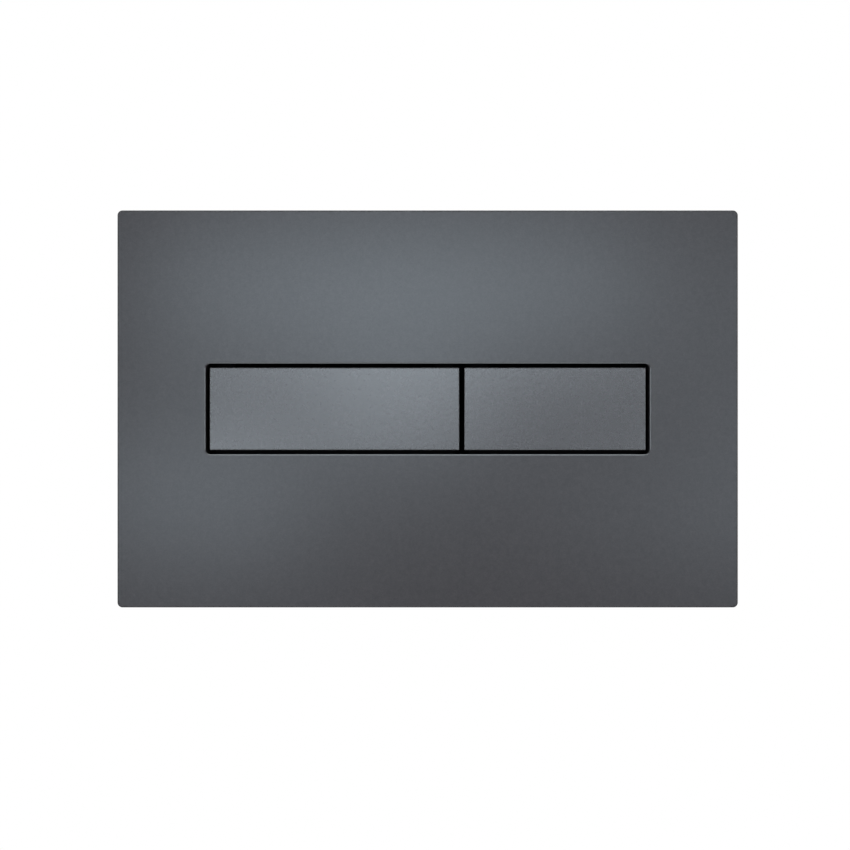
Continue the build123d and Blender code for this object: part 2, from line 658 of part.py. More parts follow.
# Mounting frame: hollow ring with bolt pillars, hook slots and a sunk bridge for the rods
with BuildPart() as mounting_frame:
    with BuildSketch(wall_plane(0)):
        RectangleRounded(2 * FRAME_SIDE, 2 * FRAME_TOP, FRAME_CORNER)
        RectangleRounded(2 * WINDOW_SIDE, 2 * WINDOW_TOP, FRAME_WINDOW_CORNER, mode=Mode.SUBTRACT)
    extrude(amount=FRAME_FRONT)
    with BuildSketch(wall_plane(0)):
        RectangleRounded(
            2 * (FRAME_SIDE - FRAME_WALL),
            2 * (FRAME_TOP - FRAME_WALL),
            FRAME_CORNER - FRAME_WALL,
        )
        Rectangle(2 * (WINDOW_SIDE + FRAME_WALL), 2 * (WINDOW_TOP + FRAME_WALL), mode=Mode.SUBTRACT)
        with Locations(bolt_places):
            Rectangle(PILLAR_WIDTH, PILLAR_TALL, mode=Mode.SUBTRACT)
    extrude(amount=FRAME_PLATE_BACK, mode=Mode.SUBTRACT)
    with BuildSketch(wall_plane(BOLT_SEAT)):
        with Locations(bolt_places):
            Rectangle(PILLAR_WIDTH, PILLAR_TALL)
    extrude(amount=BOLT_SINK, mode=Mode.SUBTRACT)
    with BuildSketch(wall_plane(0)):
        with Locations(bolt_places):
            Circle(BOLT_RADIUS + BOLT_HOLE_PLAY)
    extrude(amount=BOLT_SEAT, mode=Mode.SUBTRACT)
    with BuildSketch(wall_plane(FRAME_PLATE_BACK)):
        with GridLocations(HOOK_SPREAD, 2 * HOOK_Z, 2, 2):
            Rectangle(HOOK_WIDTH + 2 * HOOK_SIDE_PLAY, HOOK_WALL + 2 * HOOK_SIDE_PLAY)
    extrude(amount=FRAME_PLATE, mode=Mode.SUBTRACT)
    leg_outside = WINDOW_SIDE + BRIDGE_WALL
    with BuildSketch(Plane.XY.offset(ROD_Z)) as bridge_outline:
        with BuildLine():
            Polyline(
                (-leg_outside, 0),
                (-leg_outside, -BRIDGE_BACK),
                (leg_outside, -BRIDGE_BACK),
                (leg_outside, 0),
                (WINDOW_SIDE, 0),
                (WINDOW_SIDE, -GUIDE_FRONT),
                (-WINDOW_SIDE, -GUIDE_FRONT),
                (-WINDOW_SIDE, 0),
                close=True,
            )
        make_face()
        bends = bridge_outline.vertices().group_by(Axis.Y)[-1]
        fillet(bends, BRIDGE_WALL + BRIDGE_BEND)
        bends = bridge_outline.vertices().filter_by_position(Axis.Y, -GUIDE_FRONT, -GUIDE_FRONT)
        fillet(bends, BRIDGE_BEND)
    extrude(amount=BRIDGE_TALL / 2, both=True)
    with BuildSketch(wall_plane(GUIDE_FRONT)):
        with Locations(rod_places):
            Rectangle(GUIDE_SPAN, GUIDE_SPAN)
    extrude(amount=-GUIDE_LENGTH)
    with BuildSketch(wall_plane(GUIDE_FRONT)):
        with Locations(rod_places):
            Rectangle(ROD_SPAN + 2 * GUIDE_PLAY, ROD_WEB + 2 * GUIDE_PLAY)
            Rectangle(ROD_WEB + 2 * GUIDE_PLAY, ROD_SPAN + 2 * GUIDE_PLAY)
    extrude(amount=-GUIDE_LENGTH, mode=Mode.SUBTRACT)

full_lever = button_lever(
    FULL_LEFT,
    FULL_RIGHT,
    -CARRIER_INSIDE + EYE_PLAY,
    FULL_RIGHT - ARM_INSET,
    rod_places[0],
    spring_places[0],
)
half_lever = button_lever(
    HALF_LEFT,
    HALF_RIGHT,
    HALF_LEFT + ARM_INSET,
    CARRIER_INSIDE - EYE_PLAY,
    rod_places[1],
    spring_places[1],
)

pieces = {
    "front_plate": front_plate.part,
    "full_button_cap": button_cap(FULL_LEFT, FULL_RIGHT),
    "half_button_cap": button_cap(HALF_LEFT, HALF_RIGHT),
    "full_button_lever": full_lever,
    "half_button_lever": half_lever,
    "full_hinge_pin": hinge_pin(-CARRIER_OUTSIDE, DIVIDE_X - PIN_END_GAP),
    "half_hinge_pin": hinge_pin(DIVIDE_X + PIN_END_GAP, CARRIER_OUTSIDE),
    "full_return_spring": return_spring(spring_places[0]),
    "half_return_spring": return_spring(spring_places[1]),
    "button_carrier": button_carrier.part,
    "carrier_screws": carrier_screws.part,
    "full_stop_pads": stop_pads(full_pads),
    "half_stop_pads": stop_pads(half_pads),
    "mounting_frame": mounting_frame.part,
    "left_fixing_bolt": fixing_bolt(bolt_places[0]),
    "right_fixing_bolt": fixing_bolt(bolt_places[1]),
    "full_push_rod": push_rod(rod_places[0]),
    "half_push_rod": push_rod(rod_places[1]),
    "full_rod_adjuster": rod_adjuster(rod_places[0]),
    "half_rod_adjuster": rod_adjuster(rod_places[1]),
}

os.makedirs("parts", exist_ok=True)
for name, piece in pieces.items():
    piece.label = name
    export_step(piece, f"parts/{name}.step")
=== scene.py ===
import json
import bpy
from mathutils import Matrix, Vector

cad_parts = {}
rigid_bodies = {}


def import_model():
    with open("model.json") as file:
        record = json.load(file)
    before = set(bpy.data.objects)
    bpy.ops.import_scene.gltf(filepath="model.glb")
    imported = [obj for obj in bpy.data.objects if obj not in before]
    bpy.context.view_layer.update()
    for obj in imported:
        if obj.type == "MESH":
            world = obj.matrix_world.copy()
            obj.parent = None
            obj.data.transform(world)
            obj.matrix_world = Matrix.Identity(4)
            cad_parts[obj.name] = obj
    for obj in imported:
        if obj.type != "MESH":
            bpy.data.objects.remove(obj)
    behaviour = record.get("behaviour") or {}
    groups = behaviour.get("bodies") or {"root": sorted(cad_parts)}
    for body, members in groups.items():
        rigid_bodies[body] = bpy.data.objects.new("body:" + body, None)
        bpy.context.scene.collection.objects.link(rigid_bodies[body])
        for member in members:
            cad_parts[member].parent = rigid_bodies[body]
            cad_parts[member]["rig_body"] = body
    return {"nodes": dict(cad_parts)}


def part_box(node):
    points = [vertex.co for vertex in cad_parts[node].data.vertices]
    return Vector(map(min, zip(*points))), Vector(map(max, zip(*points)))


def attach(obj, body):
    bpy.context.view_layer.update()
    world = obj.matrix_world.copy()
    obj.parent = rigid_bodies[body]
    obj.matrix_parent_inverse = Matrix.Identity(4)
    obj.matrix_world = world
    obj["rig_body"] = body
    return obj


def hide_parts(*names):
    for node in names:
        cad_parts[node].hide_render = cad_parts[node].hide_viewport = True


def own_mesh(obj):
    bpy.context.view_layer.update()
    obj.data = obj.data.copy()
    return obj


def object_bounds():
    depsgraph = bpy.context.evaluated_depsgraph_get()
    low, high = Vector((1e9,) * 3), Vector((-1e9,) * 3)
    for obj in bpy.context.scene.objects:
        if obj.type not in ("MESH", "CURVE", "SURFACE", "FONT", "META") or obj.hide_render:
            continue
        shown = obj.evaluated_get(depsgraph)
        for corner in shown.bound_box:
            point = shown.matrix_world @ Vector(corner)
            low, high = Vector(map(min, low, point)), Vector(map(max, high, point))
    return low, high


bl_info = {
    "name": "Flush button plate",
    "version": (1, 0, 0),
    "blender": (4, 5, 0),
    "location": "3D View > Sidebar > Flush plate",
    "description": "Finishes the pieces of a two-button flush plate and sets up its studio",
    "category": "Object",
}

from math import hypot, pi, radians

import bmesh
import bpy
from bpy.props import FloatProperty, FloatVectorProperty, IntProperty, PointerProperty
from mathutils import Matrix, Vector

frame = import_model()
CAD_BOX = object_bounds()
FRONT = CAD_BOX[0].y

MM = 0.001
BUTTONS = ("full", "half")

# The photo's frame on the front of the plate: its width, and the point that it is centred on
VIEW_WIDTH = 342.38 * MM
VIEW_CENTRE = (-1.07 * MM, -6.48 * MM)

# How a node's loose triangles are merged and cut, and which of its edges count as corners
MERGE_DISTANCE = 0.001 * MM
CUT_DISTANCE = MERGE_DISTANCE / 10
FLAT_ANGLE = radians(0.3)
CORNER_ANGLE = radians(25)
SMOOTH_ANGLE = radians(35)
ROUND_STEPS = 3
FLAT_FACE_WEIGHT = 100

# A thread's tooth: its depth as a share of the pitch, and its outline in shares of the pitch and the depth
THREAD_DEPTH = 0.32
THREAD_TOOTH = ((0.0, 1.0), (0.22, 1.0), (0.5, 0.0), (0.72, 0.0))
SPARE_TURNS = 2

# How far the paint reaches back from a face, and the roughness of the plastic behind it
PAINT_DEPTH = 0.6 * MM
BARE_ROUGH = 0.55

# Colour sockets of a mix node, which shares their names with its sockets for other kinds of value
MIX_FACTOR, MIX_FIRST, MIX_SECOND, MIX_RESULT = 0, 6, 7, 2


def colour_property(name, description, default):
    """A colour that a user can change."""
    return FloatVectorProperty(
        name=name, description=description, subtype="COLOR", size=3, min=0, max=1, default=default
    )


def length_property(name, description, default):
    """A length in metres that a user can change."""
    return FloatProperty(
        name=name, description=description, subtype="DISTANCE", unit="LENGTH", min=0, default=default
    )


def factor_property(name, description, default):
    """A share from 0 to 1 that a user can change."""
    return FloatProperty(
        name=name, description=description, subtype="FACTOR", min=0, max=1, default=default
    )


def power_property(name, description, default):
    """A lamp's power in watts that a user can change."""
    return FloatProperty(name=name, description=description, unit="POWER", min=0, default=default)


class FlushPlateFinish(bpy.types.PropertyGroup):
    """Colours and gloss of the finishes."""

    plate: colour_property("Plate lacquer", "Colour of the plate's lacquer", (0.0212, 0.0178, 0.0196))
    button: colour_property("Button lacquer", "Colour of the buttons' lacquer", (0.0178, 0.0150, 0.0180))
    plate_sheen: colour_property("Plate sheen", "Tint of the plate's reflections", (0.813, 0.935, 1.0))
    button_sheen: colour_property("Button sheen", "Tint of the buttons' reflections", (0.846, 0.935, 0.985))
    plate_gloss: factor_property("Plate gloss", "Strength of the plate's reflections", 0.40)
    button_gloss: factor_property("Button gloss", "Strength of the buttons' reflections", 0.68)
    satin: factor_property("Satin", "Roughness of the lacquer on the plate's face", 0.25)
    button_satin: factor_property("Button satin", "Roughness of the buttons' lacquer", 0.225)
    side_satin: factor_property("Side satin", "Roughness of the lacquer on the plate's sides", 0.45)
    plate_flake: factor_property("Plate flakes", "Contrast of the flakes in the plate's coat", 0.16)
    plate_mottle: factor_property("Plate mottling", "Contrast of the mottling in the plate's coat", 0.24)
    button_flake: factor_property("Button flakes", "Contrast of the flakes in the buttons' coat", 0.06)
    button_mottle: factor_property("Button mottling", "Contrast of the mottling in the buttons' coat", 0.18)
    black: colour_property("Black plastic", "Colour of the tray behind the buttons", (0.010, 0.010, 0.011))
    # Darker than the black plastic: partly the levers' own black, partly painted shade that makes the gaps
    # round the buttons read dark
    matt: colour_property("Matt black", "Colour of the levers and the tray's front", (0.002, 0.002, 0.0025))
    backing: colour_property("Unpainted back", "Colour of the bare backs", (0.024, 0.025, 0.027))
    grey: colour_property("Grey plastic", "Colour of the mounting frame", (0.19, 0.20, 0.21))
    white: colour_property("White plastic", "Colour of the bolts and the rods", (0.72, 0.71, 0.67))
    blue: colour_property("Blue plastic", "Colour of the rod adjusters", (0.03, 0.13, 0.34))
    rubber: colour_property("Rubber", "Colour of the stop pads", (0.016, 0.016, 0.016))
    steel: colour_property("Steel", "Colour of the pins and the springs", (0.56, 0.57, 0.58))
    zinc: colour_property("Zinc plating", "Colour of the tray's screws", (0.62, 0.61, 0.55))


class FlushPlateDetail(bpy.types.PropertyGroup):
    """Small sizes that the finished pieces add to the solids."""

    plate_round: length_property("Plate edges", "Edge radius of the front plate", 0.06 * MM)
    button_round: length_property("Button edges", "Edge radius of the buttons", 0.12 * MM)
    moulded_round: length_property("Moulded edges", "Edge radius of the hidden pieces", 0.2 * MM)
    wire: length_property("Spring wire", "Diameter of the springs' wire", 0.8 * MM)
    wire_sides: IntProperty(name="Wire sides", description="Faces round the wire", min=6, default=12)
    turns: FloatProperty(name="Turns", description="Turns of each spring", min=1, default=3)
    bolt_pitch: length_property("Bolt pitch", "Thread pitch of the fixing bolts", 2.0 * MM)
    stud_pitch: length_property("Adjuster pitch", "Thread pitch of the rod adjusters", 1.25 * MM)
    screw_pitch: length_property("Screw pitch", "Thread pitch of the tray's screws", 1.1 * MM)


class FlushPlateStudio(bpy.types.PropertyGroup):
    """Camera, lamps and backdrop."""

    lens: FloatProperty(name="Lens", description="Focal length", unit="CAMERA", min=10, default=100)
    key: power_property("Key lamp", "Wide lamp above the view", 0.52)
    middle: power_property("Middle lamp", "Small lamp by the view", 0.21)
    left: power_property("Left lamp", "Lamp low on the left", 0.20)
    right: power_property("Right lamp", "Lamp low on the right", 0.10)
    rim: power_property("Rim lamp", "Upright lamp on the right", 0.13)
    top: power_property("Top lamp", "Lamp over the plate", 3.67)
    side: power_property("Side lamps", "Lamps on both sides of the plate", 1.0)
    corner: power_property("Corner lamps", "Small lamps high on both sides of the view", 0.4)
    low: power_property("Low lamp", "Lamp under the plate", 0.6)
    back: power_property("Back lamp", "Lamp behind the plate", 9.0)
    tint: colour_property("Lamp tint", "Colour of the lamps in front of the plate", (0.925, 0.957, 1.0))
    ambient: FloatProperty(name="Ambient", description="Level of the light all round", min=0, default=0.25)
    floor: colour_property("Floor", "Colour of the floor", (0.82, 0.82, 0.81))
    floor_drop: length_property("Floor drop", "Height of the plate's middle over the floor", 0.40)


class FlushPlateSettings(bpy.types.PropertyGroup):
    """All settings of the flush plate."""

    finish: PointerProperty(type=FlushPlateFinish)
    detail: PointerProperty(type=FlushPlateDetail)
    studio: PointerProperty(type=FlushPlateStudio)


def settings():
    """The scene's settings of the flush plate."""
    return bpy.context.scene.flush_plate


class Shading:
    """Node tree of a material, with short calls for the nodes that the finishes share."""

    def __init__(self, name):
        self.material = bpy.data.materials.new(name)
        self.material.use_nodes = True
        self.tree = self.material.node_tree
        self.shader = self.tree.nodes["Principled BSDF"]
        self.place = self.node("ShaderNodeTexCoord").outputs["Object"]

    def node(self, kind, **values):
        """A new node with some of its settings or sockets filled in."""
        made = self.tree.nodes.new(kind)
        for key, value in values.items():
            if hasattr(made, key):
                setattr(made, key, value)
            else:
                made.inputs[key.replace("_", " ").title()].default_value = value
        return made

    def link(self, output, socket):
        """Joins an output to a socket."""
        self.tree.links.new(output, socket)

    def stretched(self, scale):
        """The place in the object, stretched along its axes."""
        mapping = self.node("ShaderNodeMapping")
        mapping.inputs["Scale"].default_value = scale
        self.link(self.place, mapping.inputs["Vector"])
        return mapping.outputs["Vector"]

    def noise(self, size, detail=2.0, place=None):
        """Soft noise with blots of about the given size in metres."""
        made = self.node("ShaderNodeTexNoise", scale=1 / size, detail=detail)
        self.link(place or self.place, made.inputs["Vector"])
        return made.outputs["Fac"]

    def flakes(self, size):
        """A random grey for each flake of about the given size in metres."""
        made = self.node("ShaderNodeTexVoronoi", scale=1 / size)
        self.link(self.place, made.inputs["Vector"])
        split = self.node("ShaderNodeSeparateColor")
        self.link(made.outputs["Color"], split.inputs["Color"])
        return split.outputs["Red"]

    def spread(self, value, low, high):
        """A value moved from the range 0 to 1 into the range low to high."""
        made = self.node("ShaderNodeMapRange")
        made.inputs["To Min"].default_value = low
        made.inputs["To Max"].default_value = high
        self.link(value, made.inputs["Value"])
        return made.outputs["Result"]

    def vary(self, value, amount, middle=1.0):
        """A value moved from the range 0 to 1 to both sides of a middle."""
        return self.spread(value, middle - amount, middle + amount)

    def shaded(self, colour, *shares):
        """A colour made lighter or darker by each of the shares in turn."""
        result = None
        for share in shares:
            made = self.node("ShaderNodeMix", data_type="RGBA", blend_type="MULTIPLY")
            made.inputs[MIX_FACTOR].default_value = 1
            if result is None:
                made.inputs[MIX_FIRST].default_value = (*colour, 1)
            else:
                self.link(result, made.inputs[MIX_FIRST])
            self.link(share, made.inputs[MIX_SECOND])
            result = made.outputs[MIX_RESULT]
        self.link(result, self.shader.inputs["Base Color"])

    def roughness(self, value):
        """Lets a value set the roughness."""
        self.link(value, self.shader.inputs["Roughness"])

    def bumps(self, *layers):
        """Bumps of the surface, as pairs of a height and its depth in metres."""
        normal = None
        for height, depth in layers:
            made = self.node("ShaderNodeBump")
            made.inputs["Distance"].default_value = depth
            self.link(height, made.inputs["Height"])
            if normal is not None:
                self.link(normal, made.inputs["Normal"])
            normal = made.outputs["Normal"]
        self.link(normal, self.shader.inputs["Normal"])

    def constant(self, **values):
        """Sets sockets of the shader itself."""
        for key, value in values.items():
            self.shader.inputs[key.replace("_", " ")].default_value = value


def lacquer(name, colour, sheen, gloss, satin, flake, mottle):
    """Satin metallic lacquer: fine flakes, mottling, faint clouds and the grain of a sprayed coat."""
    paint = Shading(name)
    flakes = paint.flakes(size=0.35 * MM)
    blots = paint.noise(size=1.6 * MM)
    clouds = paint.noise(size=30 * MM)
    grain = paint.noise(size=0.6 * MM, detail=3)
    waves = paint.noise(size=2 * MM)
    paint.shaded(
        colour,
        paint.vary(flakes, amount=flake),
        paint.vary(blots, amount=mottle),
        paint.vary(clouds, amount=0.07),
    )
    paint.roughness(paint.vary(grain, amount=0.02, middle=satin))
    paint.bumps((grain, 0.0015 * MM), (waves, 0.02 * MM))
    paint.constant(Specular_IOR_Level=gloss, Specular_Tint=(*sheen, 1))
    return paint.material


def moulded(name, colour, rough, gloss=0.45):
    """Moulded plastic: fine spark texture, faint flow marks and uneven gloss."""
    plastic = Shading(name)
    grain = plastic.noise(size=0.4 * MM, detail=3)
    flow = plastic.noise(size=18 * MM, detail=3, place=plastic.stretched((1.0, 1.0, 0.35)))
    plastic.shaded(colour, plastic.vary(flow, amount=0.16), plastic.vary(grain, amount=0.08))
    plastic.roughness(plastic.vary(flow, amount=0.08, middle=rough))
    plastic.bumps((grain, 0.02 * MM), (flow, 0.05 * MM))
    plastic.constant(Specular_IOR_Level=gloss)
    return plastic.material


def milky(name, colour):
    """Unpainted bolt and rod plastic: pale, with light that sinks in a little."""
    plastic = Shading(name)
    grain = plastic.noise(size=0.5 * MM, detail=3)
    flow = plastic.noise(size=9 * MM, detail=3, place=plastic.stretched((1.0, 0.3, 1.0)))
    plastic.shaded(colour, plastic.spread(flow, low=0.9, high=1.08), plastic.vary(grain, amount=0.04))
    plastic.roughness(plastic.spread(flow, low=0.34, high=0.5))
    plastic.bumps((grain, 0.01 * MM), (flow, 0.04 * MM))
    plastic.constant(Specular_IOR_Level=0.5, Subsurface_Weight=0.12, Subsurface_Scale=1.5 * MM)
    return plastic.material


def metal(name, colour, rough, along=(1.0, 1.0, 1.0)):
    """Plain metal with fine drawing lines; along stretches them."""
    bar = Shading(name)
    lines = bar.noise(size=0.25 * MM, detail=3, place=bar.stretched(along))
    stain = bar.noise(size=4 * MM, detail=3)
    bar.shaded(colour, bar.spread(lines, low=0.82, high=1.12), bar.spread(stain, low=0.88, high=1.08))
    bar.roughness(bar.spread(lines, low=rough - 0.08, high=rough + 0.1))
    bar.bumps((lines, 0.008 * MM))
    bar.constant(Metallic=1.0)
    return bar.material


def rubber(name, colour):
    """Dull rubber with a dusty bloom."""
    pad = Shading(name)
    bloom = pad.noise(size=1.5 * MM, detail=4)
    pores = pad.noise(size=0.3 * MM, detail=3)
    pad.shaded(colour, pad.spread(bloom, low=0.75, high=1.4))
    pad.roughness(pad.spread(bloom, low=0.7, high=0.9))
    pad.bumps((pores, 0.02 * MM))
    return pad.material


def merged_node(node):
    """A solid's triangles, merged into closed walls with whole flat faces."""
    bm = bmesh.new()
    bm.from_mesh(frame["nodes"][node].data)
    bmesh.ops.remove_doubles(bm, verts=bm.verts, dist=MERGE_DISTANCE)
    bmesh.ops.dissolve_limit(bm, angle_limit=FLAT_ANGLE, verts=bm.verts, edges=bm.edges)
    return bm


def bevel_edges(bm, edges, width, steps, clamp):
    """Rounds some edges of a mesh."""
    bmesh.ops.bevel(
        bm,
        geom=edges,
        offset=width,
        offset_type="OFFSET",
        affect="EDGES",
        segments=steps,
        profile=0.5,
        material=-1,
        clamp_overlap=clamp,
    )


def round_edges(bm, width):
    """Rounds every corner edge of a mesh."""
    corners = [edge for edge in bm.edges if edge.calc_face_angle(0) > CORNER_ANGLE]
    bevel_edges(bm, corners, width, ROUND_STEPS, clamp=False)


def join_mesh(bm, other):
    """Adds another mesh as a closed wall of its own and frees it."""
    mesh = bpy.data.meshes.new("joined")
    other.to_mesh(mesh)
    other.free()
    bm.from_mesh(mesh)
    bpy.data.meshes.remove(mesh)


def make_piece(bm, name, node, materials, paint=None):
    """Makes a mesh the piece that stands for a solid: it moves with the solid's body."""
    for face in bm.faces:
        face.smooth = True
        if paint:
            face.material_index = paint(face.calc_center_median(), face.normal)
    for edge in bm.edges:
        edge.smooth = edge.calc_face_angle(0) < SMOOTH_ANGLE
    mesh = bpy.data.meshes.new(name)
    bm.to_mesh(mesh)
    bm.free()
    for material in materials:
        mesh.materials.append(material)
    piece = bpy.data.objects.new(name, mesh)
    bpy.context.scene.collection.objects.link(piece)
    normals = piece.modifiers.new("Flat faces stay flat", "WEIGHTED_NORMAL")
    normals.keep_sharp = True
    normals.weight = FLAT_FACE_WEIGHT
    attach(piece, frame["nodes"][node]["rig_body"])
    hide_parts(node)
    return piece


def rounded_piece(node, name, width, materials, paint=None):
    """Makes a piece with a solid's own form and rounded edges."""
    bm = merged_node(node)
    round_edges(bm, width)
    make_piece(bm, name, node, materials, paint)


def cut(bm, y, side):
    """Cuts a mesh at a plane across Y and closes it: side 1 drops what lies behind, -1 in front."""
    bmesh.ops.bisect_plane(
        bm,
        geom=[*bm.verts, *bm.edges, *bm.faces],
        dist=CUT_DISTANCE,
        plane_co=(0, y, 0),
        plane_no=(0, side, 0),
        clear_outer=True,
    )
    rim = [edge for edge in bm.edges if edge.is_boundary]
    bmesh.ops.holes_fill(bm, edges=rim, sides=0)


def threaded_bar(centre, start, end, radius, pitch, tip=0.0, steps=36):
    """A threaded bar along Y, made by turning a saw-tooth line once while it moves on by one pitch."""
    depth = THREAD_DEPTH * pitch
    bar = bmesh.new()
    line = []
    for turn in range(-SPARE_TURNS, int((end - start) / pitch) + SPARE_TURNS):
        y = start + turn * pitch
        for share, sink in THREAD_TOOTH:
            line.append(bar.verts.new((centre.x + radius - sink * depth, y + share * pitch, centre.z)))
    edges = [bar.edges.new(pair) for pair in zip(line, line[1:])]
    bmesh.ops.spin(
        bar,
        geom=[*line, *edges],
        cent=(centre.x, 0, centre.z),
        axis=(0, 1, 0),
        dvec=(0, pitch / steps, 0),
        angle=2 * pi,
        steps=steps,
        use_merge=False,
    )
    bmesh.ops.remove_doubles(bar, verts=bar.verts, dist=MERGE_DISTANCE)
    cut(bar, start, -1)
    cut(bar, end, 1)
    for vert in bar.verts:
        reach = hypot(vert.co.x - centre.x, vert.co.z - centre.z)
        limit = radius - max(0, vert.co.y - end + tip)
        if reach > limit:
            share = limit / reach
            vert.co.x = centre.x + (vert.co.x - centre.x) * share
            vert.co.z = centre.z + (vert.co.z - centre.z) * share
    bmesh.ops.recalc_face_normals(bar, faces=bar.faces)
    return bar


def ring(bm, centre, y, radius, count):
    """Corner points of a closed loop of edges round Y."""
    made = bmesh.ops.create_circle(
        bm,
        segments=count,
        radius=radius,
        matrix=Matrix.Translation((centre.x, y, centre.z)) @ Matrix.Rotation(pi / 2, 4, "X"),
    )
    return made["verts"]


def loop_edges(bm, verts):
    """Edges of a mesh that join the points of one loop."""
    inside = set(verts)
    return [edge for edge in bm.edges if inside.issuperset(edge.verts)]


class FLUSHPLATE_OT_front_plate(bpy.types.Operator):
    """Finish the front plate: lacquer outside, bare plastic behind"""

    bl_idname = "flush_plate.front_plate"
    bl_label = "Front plate"

    skin = 0.4 * MM

    def execute(self, context):
        finish, detail = settings().finish, settings().detail
        low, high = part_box("front_plate")
        face, back, sides = range(3)

        def paint(centre, normal):
            if centre.y < low.y + PAINT_DEPTH:
                return face
            across = min(centre.x - low.x, high.x - centre.x)
            upright = min(centre.z - low.z, high.z - centre.z)
            return sides if min(across, upright) < self.skin else back

        colours = (finish.plate, finish.plate_sheen, finish.plate_gloss)
        spray = (finish.plate_flake, finish.plate_mottle)
        coats = [
            lacquer("plate_lacquer", *colours, finish.satin, *spray),
            moulded("plate_back", finish.backing, BARE_ROUGH),
            lacquer("side_lacquer", *colours, finish.side_satin, *spray),
        ]
        rounded_piece("front_plate", "front_plate_moulding", detail.plate_round, coats, paint)
        return {"FINISHED"}


class FLUSHPLATE_OT_buttons(bpy.types.Operator):
    """Finish the two button caps"""

    bl_idname = "flush_plate.buttons"
    bl_label = "Buttons"

    def cap(self, side, coats):
        """One cap, with lacquer on its face and bare plastic behind."""
        low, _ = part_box(f"{side}_button_cap")
        face, back = range(2)

        def paint(centre, normal):
            return face if centre.y < low.y + PAINT_DEPTH else back

        width = settings().detail.button_round
        rounded_piece(f"{side}_button_cap", f"{side}_button_face", width, coats, paint)

    def execute(self, context):
        finish = settings().finish
        colours = (finish.button, finish.button_sheen, finish.button_gloss)
        spray = (finish.button_flake, finish.button_mottle)
        coats = [
            lacquer("button_lacquer", *colours, finish.button_satin, *spray),
            moulded("button_inside", finish.backing, BARE_ROUGH),
        ]
        for side in BUTTONS:
            self.cap(side, coats)
        return {"FINISHED"}


class FLUSHPLATE_OT_levers(bpy.types.Operator):
    """Finish the levers, their hinge pins and the tray with its pads"""

    bl_idname = "flush_plate.levers"
    bl_label = "Levers and tray"

    black_rough = 0.5
    matt_rough = 0.8
    matt_gloss = 0.02
    pin_rough = 0.3
    pin_lines = (0.04, 1.0, 1.0)
    forward_slope = -0.3

    def execute(self, context):
        finish, width = settings().finish, settings().detail.moulded_round
        black = moulded("black_plastic", finish.black, self.black_rough)
        # The levers and the tray's front faces get this darker black, which is painted shade for what shows
        # through the gaps
        matt = moulded("matt_black_plastic", finish.matt, self.matt_rough, self.matt_gloss)
        steel = metal("drawn_steel", finish.steel, self.pin_rough, self.pin_lines)
        pads = rubber("stop_rubber", finish.rubber)
        for side in BUTTONS:
            rounded_piece(f"{side}_button_lever", f"{side}_lever_moulding", width, [matt])
            rounded_piece(f"{side}_hinge_pin", f"{side}_pin", width, [steel])
            rounded_piece(f"{side}_stop_pads", f"{side}_pads", width, [pads])

        # Faces turned to the front, which show through the gaps, get the darker black: painted shade on one
        # side of the tray
        def paint(centre, normal):
            return 1 if normal.y < self.forward_slope else 0

        rounded_piece("button_carrier", "carrier_tray", width, [black, matt], paint)
        return {"FINISHED"}


class FLUSHPLATE_OT_return_springs(bpy.types.Operator):
    """Wind the return springs from round wire"""

    bl_idname = "flush_plate.return_springs"
    bl_label = "Return springs"

    wire_rough = 0.28
    steps_per_turn = 40

    def coil(self, low, high):
        """A coil of round wire that fills a box along Y."""
        detail = settings().detail
        centre = (low + high) / 2
        wire = detail.wire / 2
        reach = (high.x - low.x) / 2 - wire
        steps = round(self.steps_per_turn * detail.turns)
        bm = bmesh.new()
        start = Matrix.Translation((centre.x + reach, low.y + wire, centre.z))
        bmesh.ops.create_circle(
            bm, cap_ends=True, segments=detail.wire_sides, radius=wire, matrix=start
        )
        bmesh.ops.spin(
            bm,
            geom=[*bm.verts, *bm.edges, *bm.faces],
            cent=centre,
            axis=(0, 1, 0),
            dvec=(0, (high.y - low.y - 2 * wire) / steps, 0),
            angle=2 * pi * detail.turns,
            steps=steps,
            use_merge=False,
        )
        bmesh.ops.recalc_face_normals(bm, faces=bm.faces)
        return bm

    def execute(self, context):
        steel = metal("spring_wire", settings().finish.steel, self.wire_rough)
        for side in BUTTONS:
            node = f"{side}_return_spring"
            low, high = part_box(node)
            piece = make_piece(self.coil(low, high), f"{side}_spring_coil", node, [steel])
            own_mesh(piece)
        return {"FINISHED"}


